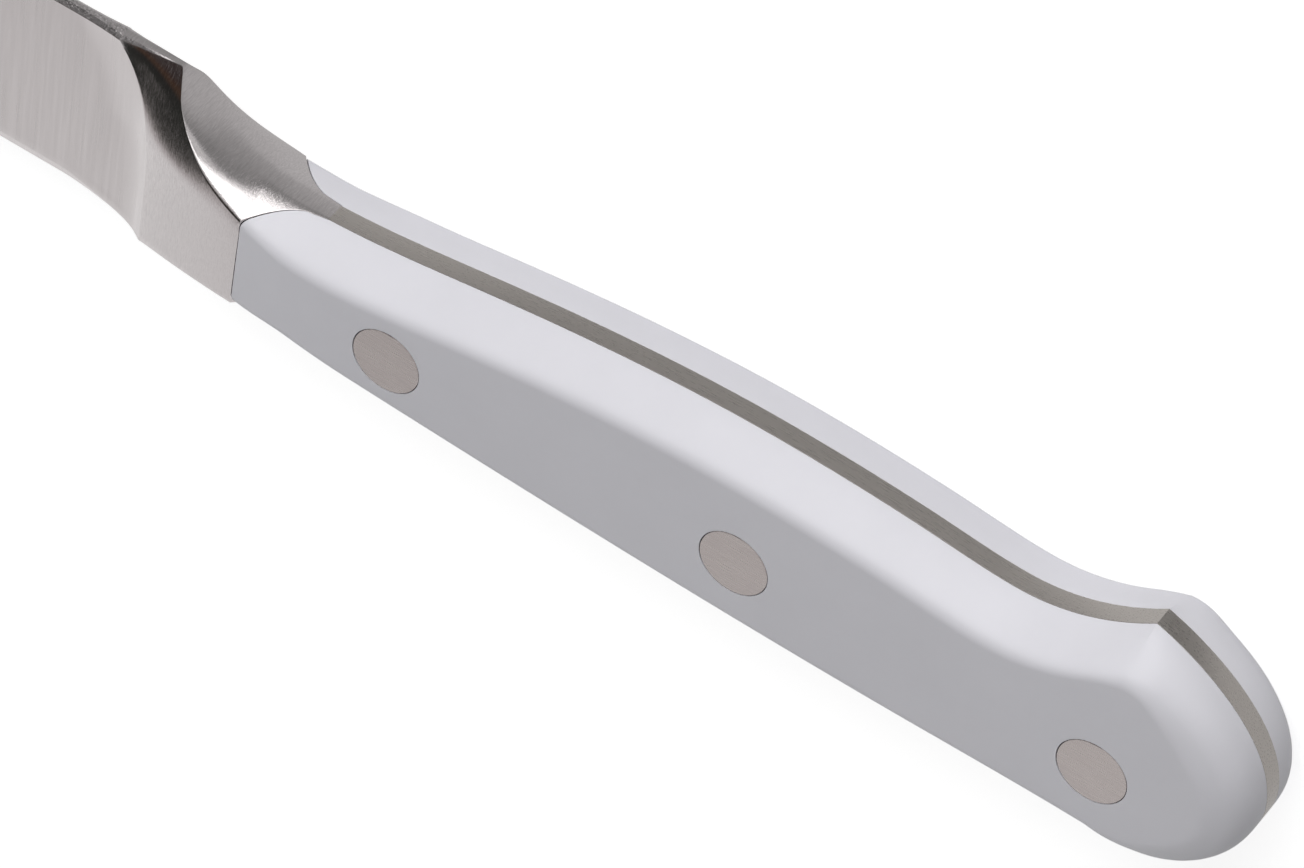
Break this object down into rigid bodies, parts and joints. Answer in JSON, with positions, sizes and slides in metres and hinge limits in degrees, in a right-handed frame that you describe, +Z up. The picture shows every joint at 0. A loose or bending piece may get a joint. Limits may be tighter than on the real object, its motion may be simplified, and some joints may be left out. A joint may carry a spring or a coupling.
{
  "type": "steak knife",
  "caption": "Forged steak knife with a slim plain edge, a bolster hollowed for the thumb, and a curved full-tang handle of riveted scales for cutting meat at the table",
  "frame": {"origin": "centre of the knife's footprint on the table, the knife lying on its side", "axes": "+X from the tip to the butt, +Y from the cutting edge to the spine, +Z up and out of the upper scale"},
  "size_m": [0.2282, 0.023, 0.0115],
  "materials": {
    "blade_steel": "satin, brushed across the blade",
    "scale_plastic": "satin white",
    "rivet_steel": "ground flush with the scales, fine straight scratches"
  },
  "bodies": {
    "root": {"forged_blade": "blade_steel", "upper_scale": "scale_plastic", "lower_scale": "scale_plastic", "front_rivet_sleeve": "rivet_steel", "front_rivet_stud": "rivet_steel", "middle_rivet_sleeve": "rivet_steel", "middle_rivet_stud": "rivet_steel", "rear_rivet_sleeve": "rivet_steel", "rear_rivet_stud": "rivet_steel"}
  },
  "joints": []
}
